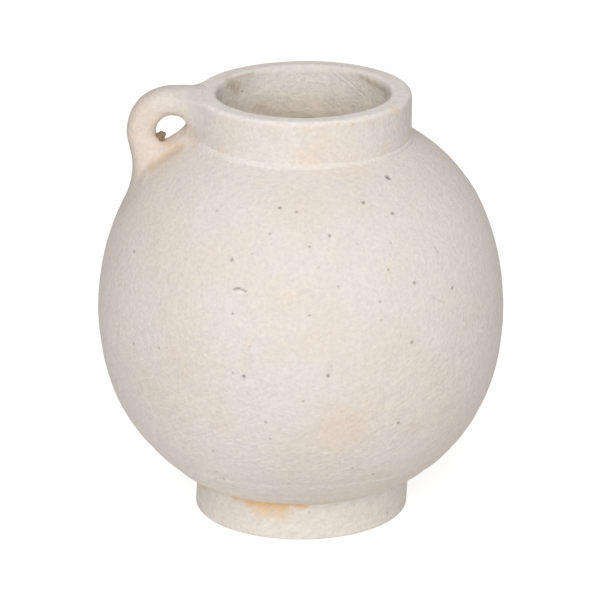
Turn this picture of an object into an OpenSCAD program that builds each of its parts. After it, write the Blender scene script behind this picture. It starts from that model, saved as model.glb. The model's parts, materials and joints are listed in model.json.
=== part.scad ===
// Round-bellied earthenware jug with a collar neck, a foot ring and a small rolled handle.
// Millimetres, +Z up. The origin is on the jug's axis, on the surface that it stands on,
// and the handle is on the -X side.

/* [Globe] */
// Widest diameter of the belly
globe_d = 230; // [226:0.5:234]
// Height of the widest point
belly_z = 118.7; // [116:0.1:121]
// Radius of the outline's arc round the belly
belly_r = 141; // [135:0.5:147]
// Degrees that the belly arc runs above the widest point
belly_up = 24.5; // [21:0.5:28]
// Degrees that the belly arc runs below the widest point
belly_down = 12.5; // [9:0.5:16]
// Radius of the outline's arc over the shoulder
shoulder_r = 91; // [89:0.5:93]
// Radius of the outline's arc round the hip
hip_r = 103.5; // [101:0.5:106]
// Thickness of the thrown wall
wall = 8; // [6.5:0.5:9]
// Height of the trimmed underside
underside_z = 9; // [8:0.5:11]
// Thickness of the floor
floor_t = 8; // [7:0.5:10]

/* [Neck] */
// Outer diameter of the collar
neck_d = 121.4; // [118:0.2:124]
// Diameter of the mouth
mouth_d = 97.2; // [94:0.2:100]
// Height of the rim
rim_z = 245.4; // [243:0.2:248]
// Rounding of the rim's two edges
rim_round = 3; // [2:0.5:4]
// Wall of the spigot that seats the collar in the shoulder
spigot_t = 6; // [5:0.5:7]
// Radius of the slip bead in the corner below the neck
neck_bead_r = 2; // [1.5:0.1:2.5]

/* [Foot] */
// Outer diameter of the foot ring
foot_d = 122.4; // [120:0.2:126]
// Wall of the foot ring
foot_t = 15; // [12:0.5:18]
// Rounding of the edge that stands on the table
foot_round = 1.5; // [1:0.25:2.5]
// Radius of the coil in the corner under the bowl
foot_coil_r = 6; // [4:0.5:7]

/* [Seam] */
// Height of the half lap at the belly
lap_h = 6; // [4:0.5:8]
// Radius of the coil that covers the seam inside
seam_coil_r = 6; // [4:0.5:8]

/* [Handle] */
// Diameter of the rolled coil
coil_d = 17.6; // [16:0.2:18.4]
// Distance from the jug's axis to the handle's outer face
handle_reach = 97.7; // [96:0.1:100]
// How far the handle stands above the rim
handle_rise = 3.9; // [3:0.1:4.5]
// Radius of the bend, on the middle of the coil
bend_r = 17.5; // [16:0.5:18.5]
// Degrees that the outer limb leans in towards the shoulder
limb_lean = 12; // [9:0.5:14]
// How far the coil's end laps over the rim
rim_lap = 7.7; // [6.5:0.1:8.5]
// Length of the wad along the upper root
upper_wad_l = 9.8; // [8:0.2:11]
// How far the upper wad spreads on the neck, beyond the coil
upper_wad_spread = 7.7; // [6:0.1:8.5]
// Length of the wad along the lower root
lower_wad_l = 30; // [28:0.5:32]
// How far the lower wad spreads on the shoulder, beyond the coil
lower_wad_spread = 7; // [5.5:0.5:8]
// Distance along the outer limb from the bend to the lower wad
lower_wad_start = 8; // [7:0.5:10]
// Thickness of the wads at their thin ends
wad_edge = 0.6; // [0.4:0.1:1]

/* [Hidden] */
$fn = 240;

// A point at a distance and an angle from a centre
function polar(centre, radius, angle) = centre + radius * [cos(angle), sin(angle)];

// Points along an arc, from one angle to another
function arc(centre, radius, from, to, steps = 6) =
    [for (i = [0:steps]) polar(centre, radius, from + (to - from) * i / steps)];

// One short side of a right triangle, from its long side and its other short side
function leg(long_side, side) = sqrt(long_side * long_side - side * side);

neck_r = neck_d / 2;
mouth_r = mouth_d / 2;
spigot_r = mouth_r + spigot_t;
foot_r = foot_d / 2;
foot_inner_r = foot_r - foot_t;
coil_r = coil_d / 2;
floor_z = underside_z + floor_t;

// The shoulder and hip arcs touch the belly arc where it ends, so their centres lie on its end radii
belly_c = [globe_d / 2 - belly_r, belly_z];
shoulder_c = polar(belly_c, belly_r - shoulder_r, belly_up);
hip_c = polar(belly_c, belly_r - hip_r, -belly_down);

// Heights where the neck meets the shoulder, and where the dome's opening breaks through inside
neck_z = shoulder_c[1] + leg(shoulder_r, neck_r - shoulder_c[0]);
spigot_z = shoulder_c[1] + leg(shoulder_r - wall, spigot_r - shoulder_c[0]);
// Height where the bowl's underside meets the inside of the foot ring
foot_corner_z = hip_c[1] - leg(hip_r, foot_inner_r - hip_c[0]);

// Half lap: the bowl's inner half of the wall stands up inside the dome
lap_r = (globe_d - wall) / 2;

// The handle's middle line: out from the neck, round the bend, down the leaning limb
coil_z = rim_z + handle_rise - coil_r;
bend_c = [-(handle_reach - coil_r - bend_r), coil_z - bend_r];
bend_turn = 90 + limb_lean;
limb_top = polar(bend_c, bend_r, 90 + bend_turn);
limb_l = lower_wad_start + lower_wad_l;
// The limb is a hair thinner than the bend and starts a little way inside it
limb_step = 0.05;
limb_sunk = 1;
// How far the dome's opening is cut above and below its own wall
cut_past = 20;

limewash = [0.90, 0.87, 0.83];
warm_wash = [0.89, 0.85, 0.80];
stained_wash = [0.87, 0.80, 0.71];
raw_clay = [0.80, 0.72, 0.64];

// The part of a disc to the right of the axis, between two heights
module band(centre, radius, low, high) {
    intersection() {
        translate(centre) circle(r = radius);
        translate([0, low]) square([globe_d, high - low]);
    }
}

// Half of the globe's upright section, drawn in by a wall's thickness, between two heights
module globe_half(inset, low, high) {
    hip_end = belly_z - (belly_r - inset) * sin(belly_down);
    shoulder_start = belly_z + (belly_r - inset) * sin(belly_up);
    difference() {
        band(belly_c, belly_r - inset, low, high);
        difference() {
            translate([0, shoulder_start]) square([globe_d, globe_d]);
            translate(shoulder_c) circle(r = shoulder_r - inset);
        }
        difference() {
            translate([0, hip_end - globe_d]) square([globe_d, globe_d]);
            translate(hip_c) circle(r = hip_r - inset);
        }
    }
}

// Half of the globe's wall in section
module wall_half() {
    difference() {
        globe_half(0, underside_z, neck_z);
        globe_half(wall, floor_z, neck_z + cut_past);
        translate([0, spigot_z - cut_past]) square([spigot_r, 2 * cut_past]);
    }
}

// What belongs to the lower bowl: all below the belly, and the inner half of the wall up to the lap
module below_seam() {
    square([globe_d, belly_z]);
    square([lap_r, belly_z + lap_h]);
}

// The globe's outside as a solid, to cut other pieces to it
module globe_solid() {
    rotate_extrude() globe_half(0, underside_z, neck_z);
}

// Half of the collar's section: spigot, seat on the shoulder, outer wall and rounded rim
module collar_half() {
    edge_z = rim_z - rim_round;
    polygon(concat(
        [[mouth_r, spigot_z], [spigot_r, spigot_z], [spigot_r, neck_z], [neck_r, neck_z]],
        arc([neck_r - rim_round, edge_z], rim_round, 0, 90),
        arc([mouth_r + rim_round, edge_z], rim_round, 90, 180)
    ));
}

// The whole rolled coil, before its ends are cut to the neck and the globe
module coil() {
    neck_l = -bend_c[0] - neck_r;
    translate([bend_c[0], 0, coil_z]) rotate([0, 90, 0]) {
        cylinder(r = coil_r, h = neck_l);
        translate([0, 0, neck_l]) cylinder(r1 = coil_r, r2 = rim_z - coil_z - wad_edge, h = rim_lap);
    }
    translate([bend_c[0], 0, bend_c[1]]) rotate([90, 0, 0]) rotate([0, 0, 90])
        rotate_extrude(angle = bend_turn) translate([bend_r, 0]) circle(r = coil_r);
    translate([limb_top[0], 0, limb_top[1]]) rotate([0, 180 - limb_lean, 0])
        translate([0, 0, -limb_sunk]) cylinder(r = coil_r - limb_step, h = limb_l + limb_sunk);
}

module lower_bowl() {
    color(limewash) rotate_extrude() intersection() {
        wall_half();
        below_seam();
    }
}

module shoulder_dome() {
    color(limewash) rotate_extrude() difference() {
        wall_half();
        below_seam();
    }
}

module belly_seam_coil() {
    color(raw_clay) rotate_extrude() intersection() {
        translate([globe_d / 2 - wall, belly_z]) circle(r = seam_coil_r);
        globe_half(wall, floor_z, neck_z);
    }
}

module neck_collar() {
    color(limewash) rotate_extrude() collar_half();
}

module neck_luting_bead() {
    color(warm_wash) rotate_extrude() difference() {
        translate([neck_r, neck_z]) circle(r = neck_bead_r);
        square([neck_r, rim_z]);
        globe_half(0, underside_z, neck_z);
    }
}

module foot_ring() {
    color(stained_wash) rotate_extrude() difference() {
        polygon(concat(
            [[foot_inner_r, belly_z / 2], [foot_inner_r, 0]],
            arc([foot_r - foot_round, foot_round], foot_round, -90, 0),
            [[foot_r, belly_z / 2]]
        ));
        globe_half(0, underside_z, neck_z);
    }
}

module foot_luting_coil() {
    color(raw_clay) rotate_extrude() difference() {
        translate([foot_inner_r, foot_corner_z]) circle(r = foot_coil_r);
        translate([foot_inner_r, 0]) square([foot_t, belly_z]);
        globe_half(0, underside_z, neck_z);
    }
}

module handle() {
    color(warm_wash) difference() {
        coil();
        rotate_extrude() collar_half();
        globe_solid();
    }
}

module upper_handle_wad() {
    slope = (upper_wad_spread - wad_edge) / upper_wad_l;
    sunk_l = upper_wad_l + rim_lap / 2;
    color(warm_wash) difference() {
        translate([-neck_r - upper_wad_l, 0, coil_z]) rotate([0, 90, 0])
            cylinder(r1 = coil_r + wad_edge, r2 = coil_r + wad_edge + slope * sunk_l, h = sunk_l);
        translate([-2 * neck_r, -neck_r, rim_z - rim_round]) cube(2 * neck_r);
        coil();
        rotate_extrude() collar_half();
        globe_solid();
    }
}

module lower_handle_wad() {
    color(warm_wash) difference() {
        translate([limb_top[0], 0, limb_top[1]]) rotate([0, 180 - limb_lean, 0])
            translate([0, 0, lower_wad_start])
                cylinder(r1 = coil_r + wad_edge, r2 = coil_r + lower_wad_spread, h = lower_wad_l);
        coil();
        globe_solid();
    }
}

lower_bowl();
shoulder_dome();
belly_seam_coil();
neck_collar();
neck_luting_bead();
foot_ring();
foot_luting_coil();
handle();
upper_handle_wad();
lower_handle_wad();
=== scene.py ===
"""A limewashed earthenware jug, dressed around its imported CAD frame.

Sizes are in millimetres until a piece is finished, and then in metres, as the frame is.
The handle is on the -X side, and the camera looks along +Y.
"""

import json
import logging
import math
import random
from dataclasses import dataclass
from enum import Enum
from typing import Callable, Sequence

import bmesh
import bpy
from bmesh.types import BMEdge, BMesh, BMVert
from mathutils import Matrix, Vector, noise
from mathutils.bvhtree import BVHTree
from mathutils.geometry import intersect_point_line
from mathutils.kdtree import KDTree

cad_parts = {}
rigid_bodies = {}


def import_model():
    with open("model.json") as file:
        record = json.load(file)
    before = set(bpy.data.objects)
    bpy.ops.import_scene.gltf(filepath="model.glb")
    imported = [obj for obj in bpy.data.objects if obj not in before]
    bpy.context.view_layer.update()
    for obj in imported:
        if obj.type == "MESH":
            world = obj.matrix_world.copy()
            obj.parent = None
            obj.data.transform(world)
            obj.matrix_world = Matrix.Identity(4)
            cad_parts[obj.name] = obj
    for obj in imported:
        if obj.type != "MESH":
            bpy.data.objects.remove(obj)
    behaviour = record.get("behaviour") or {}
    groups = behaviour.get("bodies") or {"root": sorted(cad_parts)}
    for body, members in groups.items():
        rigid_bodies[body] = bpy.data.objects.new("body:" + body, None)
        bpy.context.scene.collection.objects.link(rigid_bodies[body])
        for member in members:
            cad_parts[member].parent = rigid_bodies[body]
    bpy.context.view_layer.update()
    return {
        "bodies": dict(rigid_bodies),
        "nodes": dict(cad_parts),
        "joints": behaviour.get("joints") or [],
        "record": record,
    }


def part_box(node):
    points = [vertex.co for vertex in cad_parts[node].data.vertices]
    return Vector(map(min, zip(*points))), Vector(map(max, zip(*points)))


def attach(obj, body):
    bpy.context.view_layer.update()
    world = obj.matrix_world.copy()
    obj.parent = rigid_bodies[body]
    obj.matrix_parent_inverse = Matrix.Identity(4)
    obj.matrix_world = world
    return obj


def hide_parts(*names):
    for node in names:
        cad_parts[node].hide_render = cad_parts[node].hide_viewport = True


LOG = logging.getLogger("jug")

MM = 0.001
PHOTO_PX = 600
SENSOR_MM = 36.0
WELD_MM = 0.001
BODY = "root"

Colour = tuple[float, float, float]
Place = tuple[float, float, float]
Zone = tuple[float, float]

WHITE: Colour = (1.0, 1.0, 1.0)


class Slot(Enum):
    """The record's material slots."""

    LIMEWASH = "limewash"
    BARE_CLAY = "bare_clay"


class Layer(Enum):
    """What is painted on a piece's points for its finish to read."""

    # Pits, dirt and grime, and also painted shade.
    PIT_AND_SHADE = "pit"
    OCHRE = "ochre"
    BLUSH = "blush"
    # Chalky wash, and also painted light.
    CHALK_AND_LIGHT = "chalk"
    LINING = "lining"
    # Bare clay, and also painted shade.
    BARE_AND_SHADE = "bare"


def smooth(low: float, high: float, value: float) -> float:
    """Rise gently from 0 at low to 1 at high.

    Args:
        low: Value where the rise starts.
        high: Value where it ends, which may be below low for a fall.
        value: Value to look up.

    Returns:
        A number from 0 to 1.
    """
    share = min(max((value - low) / (high - low), 0.0), 1.0)
    return share * share * (3.0 - 2.0 * share)


def melt(first: float, second: float, span: float) -> float:
    """Join the distances from two lumps of clay, with a fillet between them.

    Args:
        first: Distance from one lump, below zero inside it.
        second: Distance from the other.
        span: How far from their corner the fillet starts.

    Returns:
        Distance from the joined clay.
    """
    share = max(span - abs(first - second), 0.0) / span
    return min(first, second) - share * share * span / 4.0


def gap(point: Vector, start: Vector, end: Vector) -> float:
    """Distance from a point to a straight stretch.

    Args:
        point: The point.
        start: Where the stretch starts.
        end: Where it ends.

    Returns:
        The distance.
    """
    if (end - start).length < 1e-6:
        return (point - start).length
    foot, share = intersect_point_line(point, start, end)
    if share < 0.0:
        foot = start
    elif share > 1.0:
        foot = end
    return (point - foot).length


def in_plane(x: float, z: float) -> Vector:
    """A point of the handle's plane."""
    return Vector((x, 0.0, z))


def extrude(bm: BMesh, ring: Sequence[BMEdge]) -> tuple[list[BMEdge], list[BMVert]]:
    """Extrude a ring of edges in place.

    Args:
        bm: The mesh.
        ring: The ring's edges.

    Returns:
        The edges and the points of the new ring.
    """
    made = bmesh.ops.extrude_edge_only(bm, edges=ring)["geom"]
    edges = [item for item in made if isinstance(item, BMEdge)]
    return edges, [item for item in made if isinstance(item, BMVert)]


def frame_box(node: str) -> tuple[Vector, Vector]:
    """Corners of a CAD node's box in millimetres.

    Args:
        node: Name of the node.

    Returns:
        The lowest and the highest corner.
    """
    low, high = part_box(node)
    return low / MM, high / MM


@dataclass(frozen=True)
class PhotoCamera:
    """The camera that sees the jug as the photograph does."""

    distance: float = 2300.0
    elevation: float = math.radians(19.747)
    focal_px: float = 4049.0
    aim: Place = (-0.62, 0.0, 122.05)
    clip_end: float = 50.0

    @property
    def back(self) -> Vector:
        """Direction from the aim to the camera."""
        return Vector((0.0, -math.cos(self.elevation), math.sin(self.elevation)))

    @property
    def eye(self) -> Vector:
        """Where the camera stands, in millimetres."""
        return Vector(self.aim) + self.back * self.distance

    def ray(self, x: float, y: float) -> Vector:
        """Direction in which the camera sees a pixel of the photograph.

        Args:
            x: Column of the pixel.
            y: Row of the pixel, from the top.

        Returns:
            A unit direction in the frame.
        """
        middle = (PHOTO_PX - 1) / 2
        upward = Vector((0.0, math.sin(self.elevation), math.cos(self.elevation)))
        across = Vector((1.0, 0.0, 0.0)) * ((x - middle) / self.focal_px)
        return (across + upward * ((middle - y) / self.focal_px) - self.back).normalized()

    def place(self) -> None:
        """Make the camera and set it as the scene's."""
        data = bpy.data.cameras.new("photo_camera")
        data.sensor_width = SENSOR_MM
        data.lens = self.focal_px * SENSOR_MM / PHOTO_PX
        data.clip_end = self.clip_end
        camera = bpy.data.objects.new("photo_camera", data)
        turn = self.back.to_track_quat("Z", "Y").to_matrix().to_4x4()
        camera.matrix_world = Matrix.Translation(self.eye * MM) @ turn
        bpy.context.scene.collection.objects.link(camera)
        bpy.context.scene.camera = camera


CAMERA = PhotoCamera()


@dataclass(frozen=True)
class Mark:
    """A pit, scratch, ridge, stain, painted shade or painted light at a place in the photograph.

    x and y are its pixel, and to the pixel where a long mark ends.
    Width is its half width in millimetres, and depth how far it sinks, below zero for a ridge.
    Tint is how strongly it shows on the layer that it is painted on.
    """

    x: float
    y: float
    width: float
    depth: float = 0.0
    tint: float = 1.0
    layer: Layer = Layer.PIT_AND_SHADE
    to: tuple[float, float] | None = None

    def pixels(self, spacing: float = 3.0) -> list[tuple[float, float]]:
        """Pixels along the mark.

        Args:
            spacing: Pixels between two of them.

        Returns:
            Columns and rows, at least one pair.
        """
        if self.to is None:
            return [(self.x, self.y)]
        across, down = self.to[0] - self.x, self.to[1] - self.y
        steps = max(1, round(math.hypot(across, down) / spacing))
        return [(self.x + across * i / steps, self.y + down * i / steps) for i in range(steps + 1)]


@dataclass(frozen=True)
class Spot:
    """A mark where it lies on the jug, with points along it and the way that the surface faces there."""

    points: tuple[Vector, ...]
    facing: Vector
    mark: Mark


@dataclass(frozen=True)
class HandWork:
    """The unevenness that the potter's hands leave, as a gentle bend of all space.

    A zone gives two heights, or two distances from the axis, between which an error grows or fades.
    """

    seed: int = 1
    sway: float = 0.45
    sway_span: float = 70.0
    dent: float = 0.16
    dent_span: float = 17.0
    dent_start: Place = (7.0, 3.0, 5.0)
    ripple: float = 0.07
    ripple_span: float = 6.0
    ripple_start: Place = (2.0, 9.0, 4.0)
    ring: float = 0.07
    ring_span: float = 5.5
    ring_start: tuple[float, float] = (0.4, 0.8)
    axis_clear: float = 1.0
    flat_foot: Zone = (0.0, 8.0)
    rim_lift: float = 0.85
    rim_tilt: float = 0.005
    rim_zone: Zone = (216.0, 238.0)
    hip_shift: float = 0.6
    hip_foot: Zone = (20.0, 38.0)
    hip_top: Zone = (68.0, 42.0)
    joint_lift: float = 1.2
    joint_reach: Zone = (76.0, 63.0)
    joint_foot: Zone = (10.0, 18.0)
    joint_top: Zone = (46.0, 30.0)
    groove: float = 0.6
    groove_width: float = 3.2
    grooves: tuple[float, ...] = (33.4, 45.4)

    def shift(self, point: Vector) -> Vector:
        """How far a point of the jug is out of true.

        Args:
            point: A point of the ideal shape.

        Returns:
            Its offset.
        """
        offset = noise.noise_vector(point / self.sway_span) * self.sway
        offset += noise.noise_vector(point / self.dent_span + Vector(self.dent_start)) * self.dent
        offset += noise.noise_vector(point / self.ripple_span + Vector(self.ripple_start)) * self.ripple
        outward = Vector((point.x, point.y, 0.0))
        if outward.length > self.axis_clear:
            turned = noise.noise(Vector((*self.ring_start, point.z / self.ring_span))) * self.ring
            for height in self.grooves:
                near = max(0.0, 1.0 - ((point.z - height) / self.groove_width) ** 2)
                turned -= self.groove * near * near
            offset += outward.normalized() * turned
        offset.z *= smooth(*self.flat_foot, point.z)
        offset.z += (self.rim_lift + self.rim_tilt * point.x) * smooth(*self.rim_zone, point.z)
        offset.x += self.hip_shift * smooth(*self.hip_foot, point.z) * smooth(*self.hip_top, point.z)
        joint = smooth(*self.joint_foot, point.z) * smooth(*self.joint_top, point.z)
        offset.z += self.joint_lift * joint * smooth(*self.joint_reach, outward.length)
        return offset


HANDS = HandWork()


class OutlinePen:
    """Draws a piece's upright outline edge by edge and turns it round the jug's axis."""

    def __init__(self, radius: float, height: float) -> None:
        """Set the pen down.

        Args:
            radius: Distance from the axis.
            height: Height above the floor.
        """
        self.bm: BMesh = bmesh.new()
        self.first: BMVert = self.bm.verts.new((radius, 0.0, height))
        self.tip: BMVert = self.first

    def line(self, radius: float, height: float, steps: int = 1) -> None:
        """Draw a straight stretch.

        Args:
            radius: Distance from the axis where it ends.
            height: Height where it ends.
            steps: Edges in it.
        """
        move = (Vector((radius, 0.0, height)) - self.tip.co) / steps
        for _ in range(steps):
            self.tip = bmesh.ops.extrude_vert_indiv(self.bm, verts=[self.tip])["verts"][0]
            bmesh.ops.translate(self.bm, vec=move, verts=[self.tip])

    def arc(self, centre: Vector, degrees: float, steps: int) -> None:
        """Draw an arc.

        Args:
            centre: Radius and height of its centre.
            degrees: Turn, positive from straight up towards the outside.
            steps: Edges in it.
        """
        made = bmesh.ops.spin(
            self.bm,
            geom=[self.tip],
            cent=(centre.x, 0.0, centre.y),
            axis=(0.0, 1.0, 0.0),
            angle=math.radians(degrees),
            steps=steps,
        )
        self.tip = next(item for item in made["geom_last"] if isinstance(item, BMVert))

    def close(self) -> "OutlinePen":
        """Join the pen's end to its start."""
        bmesh.ops.contextual_create(self.bm, geom=[self.tip, self.first])
        return self

    def turn(self, steps: int) -> BMesh:
        """Turn the outline right round.

        Args:
            steps: Faces round the piece.

        Returns:
            The turned mesh.
        """
        bmesh.ops.spin(
            self.bm,
            geom=self.bm.verts[:] + self.bm.edges[:],
            cent=(0.0, 0.0, 0.0),
            axis=(0.0, 0.0, 1.0),
            angle=math.tau,
            steps=steps,
            use_merge=True,
        )
        return self.bm


def turned_coil(centre: Vector, radius: float, sides: int, steps: int) -> BMesh:
    """A round coil that lies round the jug's axis.

    Args:
        centre: Radius and height of its middle line.
        radius: Half its thickness.
        sides: Faces round the coil.
        steps: Faces along it.

    Returns:
        Its mesh.
    """
    pen = OutlinePen(centre.x, centre.y + radius)
    pen.arc(centre, 360.0, sides)
    return pen.turn(steps)


class Workpiece:
    """A piece while it is being shaped, in millimetres.

    It has the name of the CAD node that it stands for.
    """

    lump_bare: float = 1.0
    lump_dirt: float = 0.5
    mark_reach: float = 1.5
    ragged: float = 0.5
    ragged_span: float = 0.9

    def __init__(self, node: str, slot: Slot, bm: BMesh) -> None:
        """Take a raw mesh and tidy it.

        Args:
            node: The CAD node.
            slot: The record's slot for its finish.
            bm: Its mesh.
        """
        self.node = node
        self.slot = slot
        self.bm = bm
        bmesh.ops.remove_doubles(bm, verts=bm.verts, dist=WELD_MM)
        bmesh.ops.recalc_face_normals(bm, faces=bm.faces)
        bm.normal_update()
        self.layers = {layer: bm.verts.layers.float.new(layer.value) for layer in Layer}

    def paint(self, layer: Layer, amount: Callable[[Vector, Vector], float]) -> "Workpiece":
        """Paint a layer by place.

        Args:
            layer: Layer to paint on.
            amount: Gives the paint from a point and its normal.

        Returns:
            The piece.
        """
        key = self.layers[layer]
        for vert in self.bm.verts:
            vert[key] = max(vert[key], amount(vert.co, vert.normal))
        return self

    def add(self, shape: Callable[[BMesh], list[BMVert]]) -> "Workpiece":
        """Add a lump of bare clay to the piece.

        Args:
            shape: Makes the lump in the piece's mesh and returns its points.

        Returns:
            The piece.
        """
        for vert in shape(self.bm):
            vert[self.layers[Layer.BARE_AND_SHADE]] = self.lump_bare
            vert[self.layers[Layer.PIT_AND_SHADE]] = self.lump_dirt
        self.bm.normal_update()
        return self

    def sharpen(self, chosen: Callable[[BMEdge], bool]) -> None:
        """Keep the shading of the two sides of some edges apart.

        Args:
            chosen: Says which edges.
        """
        for edge in self.bm.edges:
            if chosen(edge):
                edge.smooth = False

    def point_tree(self) -> KDTree:
        """The piece's points, to look up by place.

        Returns:
            The tree, which gives the points' indices.
        """
        self.bm.verts.index_update()
        self.bm.verts.ensure_lookup_table()
        tree = KDTree(len(self.bm.verts))
        for vert in self.bm.verts:
            tree.insert(vert.co, vert.index)
        tree.balance()
        return tree

    def refine(self, spots: Sequence[Spot], cuts: int = 2, margin: float = 1.6) -> None:
        """Divide the faces round the marks that have depth.

        Args:
            spots: The marks on the jug.
            cuts: Cuts in each edge.
            margin: How far beyond a mark.
        """
        tree = self.point_tree()
        near = {
            index
            for spot in spots
            if spot.mark.depth
            for point in spot.points
            for _, index, _ in tree.find_range(point, spot.mark.width + margin)
            if self.bm.verts[index].normal.dot(spot.facing) > 0.0
        }
        edges = [e for e in self.bm.edges if e.verts[0].index in near and e.verts[1].index in near]
        if edges:
            bmesh.ops.subdivide_edges(self.bm, edges=edges, cuts=cuts, use_grid_fill=True)
            self.bm.normal_update()

    def wear(self, spots: Sequence[Spot]) -> None:
        """Sink the marks that reach the piece into it and paint them.

        Args:
            spots: The marks on the jug.
        """
        self.refine(spots)
        tree = self.point_tree()
        for spot in spots:
            mark, layer = spot.mark, self.layers[spot.mark.layer]
            reached: dict[int, float] = {}
            for point, after in zip(spot.points, spot.points[1:] or spot.points):
                reach = self.mark_reach * mark.width + (after - point).length / 2
                for co, index, _ in tree.find_range((point + after) / 2, reach):
                    reached[index] = min(reached.get(index, math.inf), gap(co, point, after))
            for index, away in reached.items():
                vert = self.bm.verts[index]
                if vert.normal.dot(spot.facing) < 0.0:
                    continue
                uneven = 1.0 + self.ragged * noise.noise(vert.co / (self.ragged_span * mark.width))
                share = max(0.0, 1.0 - (away * uneven / mark.width) ** 2) ** 2
                vert.co -= vert.normal * (mark.depth * share)
                vert[layer] = max(vert[layer], mark.tint * share)

    def finish(self, material: bpy.types.Material) -> None:
        """Give the piece its hand-made unevenness and make it an object that rides on the jug.

        Args:
            material: Its finish.
        """
        for vert in self.bm.verts:
            vert.co += HANDS.shift(vert.co)
        bmesh.ops.scale(self.bm, vec=(MM, MM, MM), verts=self.bm.verts)
        for face in self.bm.faces:
            face.smooth = True
        name = f"{self.node}_dressed"
        mesh = bpy.data.meshes.new(name)
        self.bm.to_mesh(mesh)
        self.bm.free()
        mesh.materials.append(material)
        piece = bpy.data.objects.new(name, mesh)
        bpy.context.scene.collection.objects.link(piece)
        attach(piece, BODY)
        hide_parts(self.node)
        LOG.info("%s: %d faces, %s", name, len(mesh.polygons), self.slot.value)


class JugSurface:
    """The surfaces of all the pieces together, as the camera or a scraper meets them."""

    def __init__(self, pieces: Sequence[Workpiece]) -> None:
        """Keep the pieces' surfaces.

        Args:
            pieces: Every piece of the jug.
        """
        self.trees = [BVHTree.FromBMesh(piece.bm) for piece in pieces]

    def first(self, origin: Vector, direction: Vector) -> tuple[Vector, Vector] | None:
        """Where a ray first meets the jug.

        Args:
            origin: Where the ray starts.
            direction: Where it goes.

        Returns:
            The point and the way that the surface faces there, or None.
        """
        rays = (tree.ray_cast(origin, direction) for tree in self.trees)
        hits = [hit for hit in rays if hit[0] is not None]
        if not hits:
            return None
        place, normal, _, _ = min(hits, key=lambda hit: hit[3])
        return place, normal

    def seen(self, mark: Mark) -> Spot | None:
        """Find a mark of the photograph on the jug.

        Args:
            mark: The mark.

        Returns:
            The mark in its place, or None where the camera sees past the jug.
        """
        hits = [self.first(CAMERA.eye, CAMERA.ray(x, y)) for x, y in mark.pixels()]
        found = [hit for hit in hits if hit is not None]
        if not found:
            return None
        facing = sum((normal for _, normal in found), Vector()).normalized()
        return Spot(tuple(place for place, _ in found), facing, mark)


@dataclass(frozen=True)
class Weather:
    """Pits and stains on the sides that the photograph doesn't show, in a fixed random order."""

    seed: int = 27
    pits: int = 46
    stains: int = 30
    heights: Zone = (4.0, 243.0)
    outside: float = 400.0
    edge_on: float = 0.1
    pit_width: Zone = (0.7, 1.3)
    pit_depth: float = 0.6
    pit_tint: Zone = (0.35, 0.8)
    stain_width: Zone = (7.0, 15.0)
    stain_tint: Zone = (0.2, 0.5)
    stain_layers: tuple[Layer, ...] = (Layer.BLUSH, Layer.BLUSH, Layer.CHALK_AND_LIGHT, Layer.OCHRE)

    def spots(self, surface: JugSurface) -> list[Spot]:
        """Draw the marks.

        Args:
            surface: The jug's surface.

        Returns:
            The marks in their places.
        """
        draw = random.Random(self.seed)
        found = []
        for number in range(self.pits + self.stains):
            angle = draw.uniform(0.0, math.tau)
            outward = Vector((math.cos(angle), math.sin(angle), 0.0))
            height = Vector((0.0, 0.0, draw.uniform(*self.heights)))
            mark = self.pit(draw) if number < self.pits else self.stain(draw)
            hit = surface.first(outward * self.outside + height, -outward)
            if hit and hit[1].dot((CAMERA.eye - hit[0]).normalized()) < self.edge_on:
                found.append(Spot((hit[0],), hit[1], mark))
        return found

    def pit(self, draw: random.Random) -> Mark:
        """Draw a pit."""
        width = draw.uniform(*self.pit_width)
        return Mark(0, 0, width, self.pit_depth * width, draw.uniform(*self.pit_tint))

    def stain(self, draw: random.Random) -> Mark:
        """Draw a stain."""
        layer = draw.choice(self.stain_layers)
        return Mark(0, 0, draw.uniform(*self.stain_width), 0.0, draw.uniform(*self.stain_tint), layer)


class Field:
    """A shader socket that takes part in arithmetic."""

    def __init__(self, sheet: "NodeSheet", socket: bpy.types.NodeSocket) -> None:
        """Wrap a socket.

        Args:
            sheet: The nodes that it belongs to.
            socket: An output socket.
        """
        self.sheet = sheet
        self.socket = socket

    def _math(self, operation: str, first: "Field | float", second: "Field | float") -> "Field":
        """Add a Math node and return its result."""
        return self.sheet.node("ShaderNodeMath", {"operation": operation}, {0: first, 1: second})

    def __add__(self, other: "Field | float") -> "Field":
        """Add."""
        return self._math("ADD", self, other)

    __radd__ = __add__

    def __sub__(self, other: "Field | float") -> "Field":
        """Take away."""
        return self._math("SUBTRACT", self, other)

    def __rsub__(self, other: float) -> "Field":
        """Take this away from a number."""
        return self._math("SUBTRACT", other, self)

    def __mul__(self, other: "Field | float") -> "Field":
        """Multiply."""
        return self._math("MULTIPLY", self, other)

    __rmul__ = __mul__

    def __truediv__(self, other: "Field | float") -> "Field":
        """Divide."""
        return self._math("DIVIDE", self, other)

    def __rtruediv__(self, other: float) -> "Field":
        """Divide a number by this."""
        return self._math("DIVIDE", other, self)

    def __pow__(self, other: "Field | float") -> "Field":
        """Raise to a power."""
        return self._math("POWER", self, other)

    def __rpow__(self, other: float) -> "Field":
        """Raise a number to this power."""
        return self._math("POWER", other, self)

    def most(self, other: "Field | float") -> "Field":
        """The larger of two."""
        return self._math("MAXIMUM", self, other)

    def arc(self, other: "Field") -> "Field":
        """Angle of a direction whose upright share is this one."""
        return self._math("ARCTAN2", self, other)

    def step(self, low: float, high: float) -> "Field":
        """Rise gently from 0 at low to 1 at high.

        Args:
            low: Value where the rise starts.
            high: Value where it ends.

        Returns:
            A field from 0 to 1.
        """
        return self.sheet.node(
            "ShaderNodeMapRange",
            {"interpolation_type": "SMOOTHSTEP"},
            {"Value": self, "From Min": low, "From Max": high},
        )


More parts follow.
